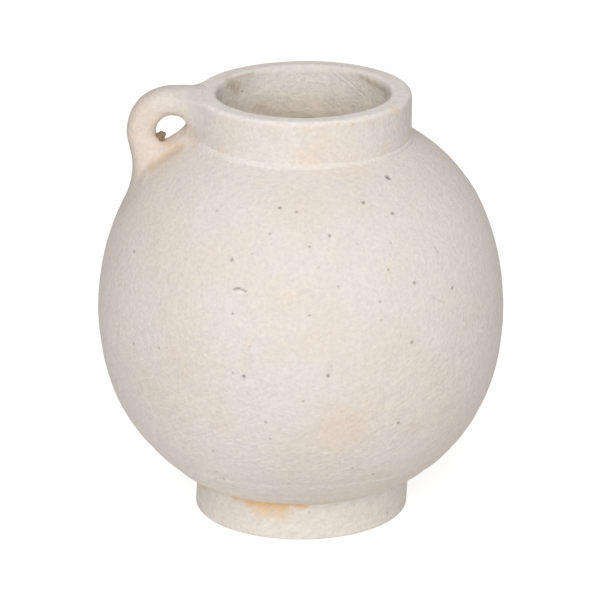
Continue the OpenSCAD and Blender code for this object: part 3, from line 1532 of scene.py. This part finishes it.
@dataclass
class Lug:
    """The rolled handle, bent over from the rim to the shoulder, with its two smeared roots.

    The coil, the web of clay under its eye and the pot are one field of distances, and their corners are
    filled as a potter's thumb fills them. Pairs named for a corner, a heart or the web are x and z.
    """

    globe: Globe
    collar: Collar
    reach: float
    top_z: float
    coil: float
    worn: float = 0.6
    sag: float = 0.5
    swell: float = 0.5
    bend: float = 17.5
    lean: float = 12.0
    squareness: float = 2.4
    run_end: float = -62.5
    root_ahead: float = 1.0
    limb: float = 28.0
    web: float = 6.0
    web_low: tuple[float, float] = (-80.3, 212.6)
    web_high: tuple[float, float] = (-58.0, 225.0)
    upper_heart: tuple[float, float] = (-52.0, 238.0)
    upper_corner: tuple[float, float] = (-67.5, 223.4)
    upper_gather: Zone = (-0.7, -1.0)
    upper_side: float = 34.0
    upper_middle: float = 16.5
    upper_above: float = 15.7
    upper_below: float = 10.0
    lower_heart: tuple[float, float] = (-62.0, 192.0)
    lower_corner: tuple[float, float] = (-64.4, 227.0)
    lower_gather: Zone = (-0.8, -1.0)
    lower_side: float = 31.0
    lower_middle: float = -31.0
    lower_above: float = 50.0
    lower_below: float = 27.0
    crumb: float = 2.5
    crumb_place: Place = (-78.2, -2.0, 220.0)
    crumb_lumps: tuple[tuple[float, float], ...] = ((0.7, 2.1), (0.2, 0.7))
    fillet: float = 14.0
    flare: float = 8.0
    flare_height: Zone = (212.0, 228.0)
    flare_side: Zone = (3.0, 12.0)
    rim_fillet: float = 4.5
    rim_lap: Zone = (1.0, -6.0)
    rim_height: Zone = (238.0, 244.0)
    crest_height: Zone = (243.0, 248.0)
    web_fillet: float = 5.0
    neck_fillet: float = 0.5
    corner_fill: float = 7.0
    corner_side: Zone = (28.0, 12.0)
    off_centre_zone: Zone = (-12.0, 0.0)
    ring_start: float = 0.9
    skin: float = 0.004
    stride: float = 0.8
    strides: int = 120
    warm: float = 0.28
    warm_reach: Zone = (42.0, 10.0)
    # Handling grime on the coil, and painted shade on its top and outer side.
    grime_and_shade_reach: float = 60.0
    grime_least: float = 0.03
    outer_side_shade: float = 0.15
    outer_side_shade_zone: Zone = (2.0, 8.0)
    grime_and_shade_coil: Zone = (24.0, 4.0)
    grime_and_shade_neck: Zone = (-7.0, 1.0)
    chalk_lap: Zone = (11.0, -6.0)
    chalk_side: Zone = (12.0, 28.0)
    chalk_height: Zone = (-2.7, -0.7)
    segments: int = 96
    bend_steps: int = 44

    def __post_init__(self) -> None:
        """Work out the middle lines of the coil and of the web."""
        self.coil_z = self.top_z - self.coil - self.sag
        self.bend_x = self.coil + self.bend - self.reach - self.swell
        self.bend_top = in_plane(self.bend_x, self.coil_z)
        self.bend_centre = in_plane(self.bend_x, self.coil_z - self.bend)
        lean = math.radians(self.lean)
        self.down = in_plane(math.sin(lean), -math.cos(lean))
        self.out = in_plane(-math.cos(lean), -math.sin(lean))
        self.limb_top = self.bend_centre + self.out * self.bend
        self.limb_tip = self.limb_top + self.down * self.limb
        self.upper_root = in_plane(self.bend_x + self.root_ahead, self.coil_z)
        self.run_tip = in_plane(self.run_end, self.coil_z)
        low, high = in_plane(*self.web_low), in_plane(*self.web_high)
        under = (high - low).normalized().cross(Vector((0.0, 1.0, 0.0))) * self.web
        self.web_line = (low - under, high - under)

    def section(self, turn: float) -> float:
        """The coil's radius at an angle round it: a slightly squared round, worn smaller.

        Args:
            turn: Angle round the coil.

        Returns:
            The radius.
        """
        power = self.squareness
        corner = (abs(math.cos(turn)) ** power + abs(math.sin(turn)) ** power) ** (-1.0 / power)
        return (self.coil - self.worn) * corner

    def to_coil(self, point: Vector) -> float:
        """Distance from the rolled coil, below zero inside it.

        Args:
            point: The point.

        Returns:
            The distance.
        """
        flat = in_plane(point.x, point.z)
        arm = flat - self.bend_centre
        away = min(gap(flat, self.upper_root, self.run_tip), gap(flat, self.limb_top, self.limb_tip))
        if 0.0 <= math.degrees(math.atan2(-arm.x, arm.z)) <= 90.0 + self.lean:
            away = min(away, abs(arm.length - self.bend))
        return math.hypot(away, point.y) - self.section(math.atan2(point.y, away))

    def to_pot(self, point: Vector) -> float:
        """Distance from the neck and the shoulder, with slip in the corner between them near the handle.

        Args:
            point: The point.

        Returns:
            The distance, below zero inside the pot.
        """
        collar, globe = self.collar, self.globe
        side = math.hypot(point.x - collar.off_centre, point.y) - collar.radius + collar.outer_edge
        top = point.z - collar.rim_z + collar.outer_edge
        neck = min(max(side, top), 0.0) + math.hypot(max(side, 0.0), max(top, 0.0)) - collar.outer_edge
        level = math.hypot(point.x, point.y) - globe.shoulder.x
        shoulder = math.hypot(level, point.z - globe.shoulder.y) - globe.shoulder_arc
        slip = self.corner_fill * smooth(*self.corner_side, abs(point.y))
        return melt(neck, shoulder, self.neck_fillet + slip)

    def clay(self, point: Vector) -> float:
        """Distance from all the clay near the handle, below zero inside it.

        Args:
            point: The point.

        Returns:
            The distance.
        """
        lug = melt(self.to_coil(point), gap(point, *self.web_line) - self.web, self.web_fillet)
        flare = self.flare * smooth(*self.flare_height, point.z) * smooth(*self.flare_side, abs(point.y))
        span = self.fillet + flare
        over = smooth(*self.rim_lap, self.collar.beyond(point))
        on_top = max(over * smooth(*self.rim_height, point.z), smooth(*self.crest_height, point.z))
        return melt(lug, self.to_pot(point), span + (self.rim_fillet - span) * on_top)

    def surface(self, inside: Vector, way: Vector) -> Vector:
        """Where a ray from inside the clay leaves it.

        Args:
            inside: Where the ray starts.
            way: Its unit direction.

        Returns:
            The place.
        """
        place = inside.copy()
        for _ in range(self.strides):
            depth = self.clay(place)
            if depth > -self.skin:
                break
            place -= way * (self.stride * depth)
        return place

    def landing(self, around: float, up: float) -> Vector:
        """A point on the outside of the pot, near the handle.

        Args:
            around: Millimetres to the camera's side of the handle's plane.
            up: Millimetres up the neck from its foot and over the rim, or below zero down the shoulder.

        Returns:
            The point.
        """
        spot = self.collar.up_the_wall(up) if up > 0.0 else self.globe.below_neck(-up)
        angle = math.pi + around / max(spot.x, self.collar.radius)
        across = self.collar.off_centre * smooth(*self.off_centre_zone, up)
        return Vector((across + spot.x * math.cos(angle), spot.x * math.sin(angle), spot.y))

    def ring(self, centre: Vector, ahead: Vector, turn: float) -> Vector:
        """A point of the coil's skin.

        Args:
            centre: A point of its middle line.
            ahead: The way of angle 0, in the handle's plane.
            turn: Angle towards the camera.

        Returns:
            The point.
        """
        outward = ahead * math.cos(turn) + Vector((0.0, -math.sin(turn), 0.0))
        return self.surface(centre + outward * (self.ring_start * self.section(turn)), outward)

    def handle(self) -> Workpiece:
        """Sweep the coil from root to root.

        Returns:
            The piece.
        """
        frame = Matrix(((0.0, -1.0, 0.0), (0.0, 0.0, 1.0), (1.0, 0.0, 0.0))).transposed().to_4x4()
        bm = bmesh.new()
        bmesh.ops.create_circle(
            bm, segments=self.segments, radius=1.0, matrix=Matrix.Translation(self.upper_root) @ frame
        )
        for vert in bm.verts:
            arm = vert.co - self.upper_root
            vert.co = self.upper_root + arm * self.section(math.atan2(arm.y, arm.z))
        first = bm.edges[:]
        ring, points = extrude(bm, first)
        bmesh.ops.translate(bm, vec=self.bend_top - self.upper_root, verts=points)
        made = bmesh.ops.spin(
            bm,
            geom=ring,
            cent=self.bend_centre,
            axis=(0.0, 1.0, 0.0),
            angle=-math.radians(90.0 + self.lean),
            steps=self.bend_steps,
        )["geom_last"]
        last = [item for item in made if isinstance(item, BMEdge)]
        bmesh.ops.recalc_face_normals(bm, faces=bm.faces)
        bm.normal_update()
        skin = {vert: self.surface(vert.co - vert.normal, vert.normal) for vert in bm.verts}
        for vert, place in skin.items():
            vert.co = place
        for end in (first, last):
            bmesh.ops.edgeloop_fill(bm, edges=end)
            Wad.crease(end)
        return Workpiece("handle", Slot.LIMEWASH, bm)

    def warmth(self, point: Vector, normal: Vector) -> float:
        """How warm the wash is near the handle's lower root."""
        return self.warm * smooth(*self.warm_reach, (point - self.limb_top).length)

    def grime_and_shade(self, point: Vector, normal: Vector) -> float:
        """How grey the coil is: a little handling grime all over it, and painted shade on its top and outer
        side.

        Args:
            point: A point of the piece.
            normal: Not used.

        Returns:
            How much to paint, from 0 to 1.
        """
        if (point - self.limb_top).length > self.grime_and_shade_reach:
            return 0.0
        # The outer side's extra grey is painted shade.
        amount = self.grime_least + self.outer_side_shade * smooth(*self.outer_side_shade_zone, self.beyond(point))
        on_coil = amount * smooth(*self.grime_and_shade_coil, self.to_coil(point))
        return on_coil * smooth(*self.grime_and_shade_neck, self.collar.beyond(point))

    def beyond(self, point: Vector) -> float:
        """How far a point lies outside the coil's middle line, away from the eye.

        Args:
            point: The point.

        Returns:
            The distance, below zero towards the eye.
        """
        arm = in_plane(point.x, point.z) - self.bend_centre
        if arm.x > 0.0:
            return arm.z - self.bend
        if arm.dot(self.down) > 0.0:
            return arm.dot(self.out) - self.bend
        return arm.length - self.bend

    def rim_chalk(self, point: Vector, normal: Vector) -> float:
        """Chalk of the rim where the smear laps over it.

        Args:
            point: A point of the piece.
            normal: Not used.

        Returns:
            How much to paint, from 0 to 1.
        """
        lap = smooth(*self.chalk_lap, self.collar.beyond(point))
        over = max(lap, smooth(*self.chalk_side, abs(point.y)))
        return self.collar.rim_chalk * smooth(*self.chalk_height, point.z - self.collar.rim_z) * over

    def upper_edge(self, turn: float) -> Vector:
        """Where the upper smear runs out: over the rim, round the neck, and below the eye.

        Args:
            turn: Angle round the coil.

        Returns:
            The point.
        """
        level = math.cos(turn)
        up = self.upper_middle + level * (self.upper_above if level > 0.0 else self.upper_below)
        place = self.landing(self.upper_side * math.sin(turn), up)
        return place.lerp(in_plane(*self.upper_corner), smooth(*self.upper_gather, level))

    def lower_edge(self, turn: float) -> Vector:
        """Where the lower smear runs out: down the shoulder, to both sides, and up the neck to the eye.

        Args:
            turn: Angle round the coil.

        Returns:
            The point.
        """
        level, across = math.cos(turn), math.sin(turn)
        if level > 0.0:
            return self.landing(self.lower_side * across, self.lower_middle - self.lower_below * level)
        around = math.copysign(abs(across) ** 0.5, across) * self.lower_side
        place = self.landing(around, self.lower_middle - self.lower_above * level)
        return place.lerp(in_plane(*self.lower_corner), smooth(*self.lower_gather, level))

    def upper_wad(self) -> Workpiece:
        """The smear on the collar and over the rim.

        Returns:
            The piece.
        """
        return Wad(
            node="upper_handle_wad",
            heart=in_plane(*self.upper_heart),
            ring=lambda turn: self.ring(self.upper_root, in_plane(0.0, 1.0), turn),
            edge=self.upper_edge,
            surface=self.surface,
        ).build().paint(Layer.CHALK_AND_LIGHT, self.rim_chalk)

    def drop_crumb(self, bm: BMesh) -> list[BMVert]:
        """Leave the crumb of dark clay that is stuck in the eye's lower corner.

        Args:
            bm: The mesh of the piece that it sticks to.

        Returns:
            The crumb's points.
        """
        place = Matrix.Translation(self.crumb_place)
        made = bmesh.ops.create_icosphere(bm, subdivisions=4, radius=self.crumb, matrix=place)["verts"]
        for vert in made:
            arm = vert.co - Vector(self.crumb_place)
            vert.co += arm * sum(size * noise.noise(vert.co / span) for size, span in self.crumb_lumps)
        return made

    def lower_wad(self) -> Workpiece:
        """The smear on the shoulder, which climbs to the neck under the handle's eye.

        Returns:
            The piece.
        """
        return Wad(
            node="lower_handle_wad",
            heart=in_plane(*self.lower_heart),
            ring=lambda turn: self.ring(self.limb_top, self.out, turn),
            edge=self.lower_edge,
            surface=self.surface,
        ).build().add(self.drop_crumb)


@dataclass(frozen=True)
class Studio:
    """A white floor and soft lamps."""

    world: float = 0.43
    key: float = 14.3
    low: float = 10.0
    key_place: tuple[float, float] = (-4.0, 40.0)
    low_place: tuple[float, float] = (-1.0, 25.0)
    lamp_side: float = 1.2
    lamp_distance: float = 2.2
    floor_size: float = 6.0
    floor_glow: float = 0.66
    floor_gap: float = 0.0002
    lighting_grey: Colour = (0.86, 0.86, 0.86)
    shadow_grey: Colour = (0.75, 0.75, 0.75)

    def floor(self) -> None:
        """Lay the floor."""
        bm = bmesh.new()
        below = Matrix.Translation((0.0, 0.0, -self.floor_gap))
        bmesh.ops.create_grid(bm, x_segments=2, y_segments=2, size=self.floor_size, matrix=below)
        mesh = bpy.data.meshes.new("floor")
        bm.to_mesh(mesh)
        bm.free()
        sheet = NodeSheet("floor")
        seen = sheet.node("ShaderNodeLightPath", output="Is Camera Ray")
        rays = seen.socket.node.outputs
        for name in ("Is Glossy Ray", "Is Transmission Ray"):
            seen = seen.most(Field(sheet, rays[name]))
        plain = sheet.node("ShaderNodeBsdfDiffuse", sockets={"Color": self.lighting_grey})
        glow = sheet.node("ShaderNodeEmission", sockets={"Color": WHITE, "Strength": self.floor_glow})
        shaded = sheet.node("ShaderNodeBsdfDiffuse", sockets={"Color": self.shadow_grey})
        white = sheet.node("ShaderNodeAddShader", sockets={0: glow, 1: shaded})
        both = sheet.node("ShaderNodeMixShader", sockets={0: seen, 1: plain, 2: white})
        sheet.node("ShaderNodeOutputMaterial", sockets={"Surface": both})
        mesh.materials.append(sheet.material)
        floor = bpy.data.objects.new("floor", mesh)
        bpy.context.scene.collection.objects.link(floor)

    def lamp(self, name: str, azimuth: float, elevation: float, power: float) -> None:
        """Hang a square soft lamp that shines on the jug.

        Args:
            name: Its name.
            azimuth: Degrees to the right of the camera's side.
            elevation: Degrees above level.
            power: Watts.
        """
        data = bpy.data.lights.new(name, "AREA")
        data.size = self.lamp_side
        data.energy = power
        lamp = bpy.data.objects.new(name, data)
        round_jug, above = math.radians(azimuth), math.radians(elevation)
        level = Vector((math.sin(round_jug), -math.cos(round_jug), 0.0)) * math.cos(above)
        away = level + Vector((0.0, 0.0, math.sin(above)))
        place = Vector(CAMERA.aim) * MM + away * self.lamp_distance
        lamp.matrix_world = Matrix.Translation(place) @ away.to_track_quat("Z", "Y").to_matrix().to_4x4()
        bpy.context.scene.collection.objects.link(lamp)

    def light(self) -> None:
        """Hang the lamps and set the world's light."""
        world = bpy.data.worlds.new("studio")
        world.use_nodes = True
        background = world.node_tree.nodes["Background"].inputs
        background["Color"].default_value = (*WHITE, 1.0)
        background["Strength"].default_value = self.world
        bpy.context.scene.world = world
        self.lamp("key", *self.key_place, self.key)
        self.lamp("low", *self.low_place, self.low)


def pits(width: float, depth: float, tint: float, *pixels: tuple[float, float]) -> list[Mark]:
    """Pits of one size.

    Args:
        width: Their half width in millimetres.
        depth: How far they sink.
        tint: How strongly they show.
        pixels: Where they are in the photograph.

    Returns:
        The marks.
    """
    return [Mark(x, y, width, depth, tint) for x, y in pixels]


PITS: tuple[Mark, ...] = (
    *pits(2.3, 1.1, 1.0, (388, 177)),
    *pits(1.6, 0.7, 0.91, (243, 376)),
    *pits(1.5, 0.7, 0.78, (363, 202)),
    *pits(1.4, 0.6, 0.78, (279, 207), (392, 213), (414, 282), (452, 288)),
    *pits(1.4, 0.6, 0.78, (412, 342), (328, 375), (398, 423)),
    *pits(1.4, 0.6, 0.65, (231, 259)),
    *pits(1.2, 0.6, 0.78, (329, 235), (133, 251), (133, 343)),
    *pits(1.2, 0.6, 0.65, (296, 211)),
    *pits(1.2, 0.5, 0.78, (222, 479)),
    *pits(1.2, 0.5, 0.65, (232, 313), (265, 422), (158, 447)),
    *pits(1.2, 0.5, 0.6, (388, 269)),
    *pits(1.2, 0.5, 0.52, (216, 210)),
    *pits(1.2, 0.4, 0.65, (387, 513)),
    *pits(1.2, 0.4, 0.4, (251, 253)),
    *pits(1.1, 0.6, 0.65, (309, 246)),
    *pits(1.1, 0.5, 0.65, (269, 233), (380, 301), (158, 347), (303, 401)),
    *pits(1.1, 0.5, 0.52, (338, 286), (309, 315), (270, 439)),
    *pits(1.1, 0.5, 0.5, (390, 242)),
    *pits(1.1, 0.4, 0.65, (213, 451), (352, 468), (372, 474)),
    *pits(1.1, 0.4, 0.52, (309, 514)),
    *pits(1.0, 0.4, 0.5, (357, 243), (381, 320), (232, 372)),
    *pits(1.0, 0.4, 0.4, (318, 267)),
    *pits(0.9, 0.3, 0.4, (331, 366), (249, 346)),
)

SCRATCHES: tuple[Mark, ...] = (
    Mark(434, 247, 0.6, 0.3, 0.4, to=(438, 252)),
    Mark(233, 288.5, 0.9, 0.5, 0.7, to=(238, 287.5)),
    Mark(238, 287.5, 0.9, 0.5, 0.6, to=(245, 290.5)),
    Mark(431, 296, 0.5, 0.2, 0.25, to=(445, 303)),
    Mark(336, 73, 0.7, 0.2, 0.14, to=(364.5, 97.5)),
    Mark(242, 93, 1.6, 0.3, 0.4),
)

RIDGES: tuple[Mark, ...] = (
    Mark(334, 74.5, 0.8, -0.12, 0.0, Layer.CHALK_AND_LIGHT, to=(361, 96.5)),
    Mark(305, 82, 0.7, -0.2, 0.4, Layer.CHALK_AND_LIGHT, to=(325, 84)),
    Mark(292, 80, 0.7, -0.2, 0.4, Layer.CHALK_AND_LIGHT, to=(297, 72)),
    Mark(236, 292, 0.9, -0.25, 0.8, Layer.CHALK_AND_LIGHT, to=(243, 292.5)),
    Mark(390, 311, 1.2, -0.2, 0.8, Layer.CHALK_AND_LIGHT, to=(393, 310)),
    Mark(310, 135, 1.0, -0.1, 0.4, Layer.CHALK_AND_LIGHT, to=(316, 135)),
    Mark(295, 146, 1.0, -0.1, 0.3, Layer.CHALK_AND_LIGHT, to=(299, 147)),
    Mark(323, 453, 0.9, -0.2, 0.9, Layer.CHALK_AND_LIGHT, to=(328, 453)),
    Mark(281, 470, 0.9, -0.2, 0.9, Layer.CHALK_AND_LIGHT, to=(285, 469)),
    Mark(345, 468, 0.8, -0.15, 0.7, Layer.CHALK_AND_LIGHT, to=(348, 468)),
    Mark(370, 420, 0.8, -0.15, 0.3, Layer.CHALK_AND_LIGHT, to=(375, 430)),
)

# Stains, with painted shade and painted light among them.
STAINS_LIGHT_AND_SHADE: tuple[Mark, ...] = (
    Mark(234, 498, 4.2, 0.0, 0.95, Layer.OCHRE, to=(262, 503.5)),
    Mark(262, 503.5, 4.4, 0.0, 1.0, Layer.OCHRE, to=(304, 507)),
    Mark(250, 503, 7.5, 0.0, 0.9, Layer.OCHRE, to=(283, 508)),
    Mark(260, 511, 8.0, 0.0, 0.6, Layer.OCHRE, to=(281, 514)),
    Mark(199, 484, 6.0, 0.0, 0.55, Layer.OCHRE, to=(232, 496)),
    Mark(354, 501, 1.8, 0.0, 0.35, Layer.BARE_AND_SHADE, to=(353, 508)),
    # Ochre stain along the crease under the lower root, and painted shade in the crease as darker clay.
    Mark(176, 147, 7.0, 0.0, 0.4, Layer.OCHRE, to=(152, 164)),
    Mark(178, 149, 8.0, 0.0, 0.45, Layer.BARE_AND_SHADE, to=(150, 168)),
    Mark(168.5, 143, 6.0, 0.0, 0.5, Layer.OCHRE),
    # Painted shade on the web's near face by the neck.
    Mark(193, 134, 10.0, 0.0, 0.4, Layer.BARE_AND_SHADE, to=(196, 140)),
    Mark(394, 110, 5.5, 0.0, 0.6, Layer.OCHRE),
    Mark(338, 125, 1.9, 0.0, 0.75, Layer.OCHRE),
    Mark(338, 125, 1.2, 0.0, 0.5, Layer.BARE_AND_SHADE),
    Mark(352, 125.5, 1.9, 0.0, 0.75, Layer.OCHRE),
    Mark(352, 125.5, 1.2, 0.0, 0.5, Layer.BARE_AND_SHADE, to=(355, 125)),
    Mark(190, 128, 7.0, 0.0, 0.2, Layer.OCHRE),
    Mark(388, 259, 1.8, 0.0, 0.22, Layer.OCHRE, to=(389, 276)),
    Mark(245, 340, 2.6, 0.0, 0.3, Layer.BLUSH, to=(243, 372)),
    Mark(168, 143, 3.0, 0.0, 1.0, Layer.BLUSH),
    Mark(385, 148, 5.0, 0.0, 0.4, Layer.BLUSH),
    Mark(272, 128, 10.0, 0.0, 0.3, Layer.BLUSH),
    Mark(184, 146, 5.0, 0.0, 0.6, Layer.BLUSH),
    Mark(183, 145, 5.0, 0.0, 0.22, Layer.OCHRE),
    # Painted light on the handle's crest.
    Mark(186, 96, 5.5, 0.0, 0.6, Layer.CHALK_AND_LIGHT),
    Mark(396, 274, 14.0, 0.0, 0.2, Layer.BLUSH, to=(400, 256)),
    Mark(312, 158, 12.0, 0.0, 0.2, Layer.BLUSH),
    Mark(220, 151, 5.0, 0.0, 0.4, Layer.BLUSH),
    Mark(220, 425, 14.0, 0.0, 0.35, Layer.BLUSH),
    Mark(335, 425, 18.0, 0.0, 0.35, Layer.BLUSH, to=(350, 430)),
    Mark(415, 425, 12.0, 0.0, 0.35, Layer.BLUSH),
    Mark(455, 440, 14.0, 0.0, 0.3, Layer.BLUSH),
    # A shallow dent under the lower root, with painted shade in its hollow.
    Mark(144, 172, 5.0, 0.3, 0.5, Layer.BARE_AND_SHADE, to=(141, 180)),
    Mark(160, 113.5, 1.6, 0.0, 0.45, Layer.BARE_AND_SHADE, to=(172, 114)),
    Mark(172, 113.5, 1.4, 0.0, 0.4, Layer.BARE_AND_SHADE, to=(183, 117)),
    Mark(163, 140, 3.0, 0.0, 0.4, Layer.BARE_AND_SHADE),
    Mark(159, 140, 1.9, 0.6, 1.0),
    Mark(235, 90, 7.0, 0.0, 0.5, Layer.BARE_AND_SHADE, to=(228, 82)),
    Mark(385, 95, 5.0, 0.0, 0.6, Layer.BARE_AND_SHADE),
    Mark(227, 80, 1.8, 0.0, 0.48, Layer.BARE_AND_SHADE, to=(252, 74.5)),
    Mark(360, 78, 4.0, 0.0, 0.5, Layer.BARE_AND_SHADE, to=(384, 92)),
    # Painted shade along the inner edge of the rim's front.
    Mark(258, 108, 6.5, 0.0, 0.38, Layer.BARE_AND_SHADE, to=(270, 112)),
    Mark(270, 114, 4.0, 0.0, 0.36, Layer.BARE_AND_SHADE, to=(345, 115)),
)


class Jug:
    """The whole jug."""

    def __init__(self) -> None:
        """Read the driving sizes from the frame."""
        bowl_low, bowl_high = frame_box("lower_bowl")
        collar_low, collar_high = frame_box("neck_collar")
        handle_low, handle_high = frame_box("handle")
        foot_high = frame_box("foot_ring")[1]
        self.globe = Globe(
            widest=bowl_high.x,
            seam_z=frame_box("shoulder_dome")[0].z,
            underside_z=bowl_low.z,
            neck_radius=collar_high.x,
            spigot_z=collar_low.z,
        )
        self.collar = Collar(collar_high.x, collar_high.z, collar_low.z, self.globe.neck_z)
        self.foot = Foot(foot_high.x, foot_high.z)
        self.lug = Lug(self.globe, self.collar, -handle_low.x, handle_high.z, handle_high.y)

    def pieces(self) -> list[Workpiece]:
        """Shape every piece.

        Returns:
            The pieces, in the record's order.
        """
        return [
            self.globe.bowl(),
            self.globe.dome(),
            self.globe.seam_coil(),
            self.collar.turned(),
            self.collar.slip_bead(),
            self.foot.ring(),
            self.foot.corner_coil(),
            self.lug.handle(),
            self.lug.upper_wad(),
            self.lug.lower_wad(),
        ]

    def build(self) -> None:
        """Shape the pieces, wear them and finish them."""
        finishes = {Slot.LIMEWASH: Limewash().material(), Slot.BARE_CLAY: BareClay().material()}
        pieces = self.pieces()
        for piece in pieces:
            piece.paint(Layer.BLUSH, self.lug.warmth)
            # Handling grime on the handle, with painted shade on the coil's top and outer side.
            piece.paint(Layer.PIT_AND_SHADE, self.lug.grime_and_shade)
        surface = JugSurface(pieces)
        seen = [surface.seen(mark) for mark in PITS + SCRATCHES + RIDGES + STAINS_LIGHT_AND_SHADE]
        spots = [spot for spot in seen if spot is not None] + Weather().spots(surface)
        for piece in pieces:
            piece.wear(spots)
            piece.finish(finishes[piece.slot])


def main() -> None:
    """Build the jug and its studio."""
    logging.basicConfig(level=logging.INFO, format="%(name)s %(message)s")
    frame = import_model()
    LOG.info("frame with %d nodes", len(frame["nodes"]))
    bpy.context.scene.view_settings.view_transform = "Standard"
    noise.seed_set(HANDS.seed)
    CAMERA.place()
    studio = Studio()
    studio.floor()
    studio.light()
    Jug().build()


if __name__ == "__main__":
    main()
